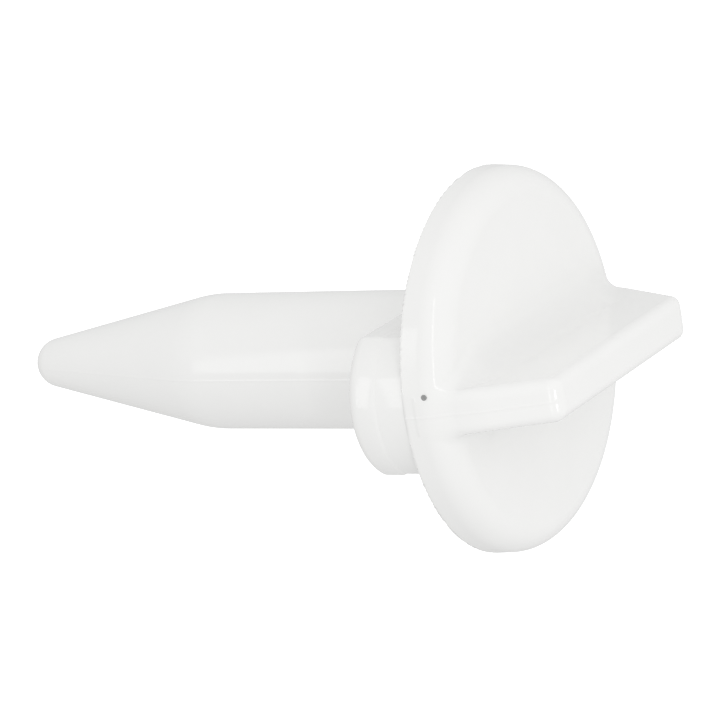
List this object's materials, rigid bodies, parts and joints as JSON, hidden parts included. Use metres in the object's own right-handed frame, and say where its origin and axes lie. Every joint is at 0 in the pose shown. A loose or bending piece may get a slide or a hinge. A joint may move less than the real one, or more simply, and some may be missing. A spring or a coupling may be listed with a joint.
{
  "type": "wall anchor",
  "caption": "Moulded plastic push-and-turn wall anchor: pointed round shank, oblong lug, round flange and a thumb wing.",
  "frame": {"origin": "on the shank's axis, where the shank leaves the lug's back face", "axes": "+X along the shank's axis towards the thumb wing, Y along the wing and the lug, +Z square to the wing's flat side"},
  "size_m": [0.0396, 0.022, 0.022],
  "materials": {
    "white_plastic": "smooth moulded, slightly translucent"
  },
  "bodies": {
    "root": {"shank_tip": "white_plastic", "shank": "white_plastic", "lug_core": "white_plastic", "lug_ear_left": "white_plastic", "lug_ear_right": "white_plastic", "flange_disc": "white_plastic", "thumb_wing": "white_plastic"}
  },
  "joints": []
}
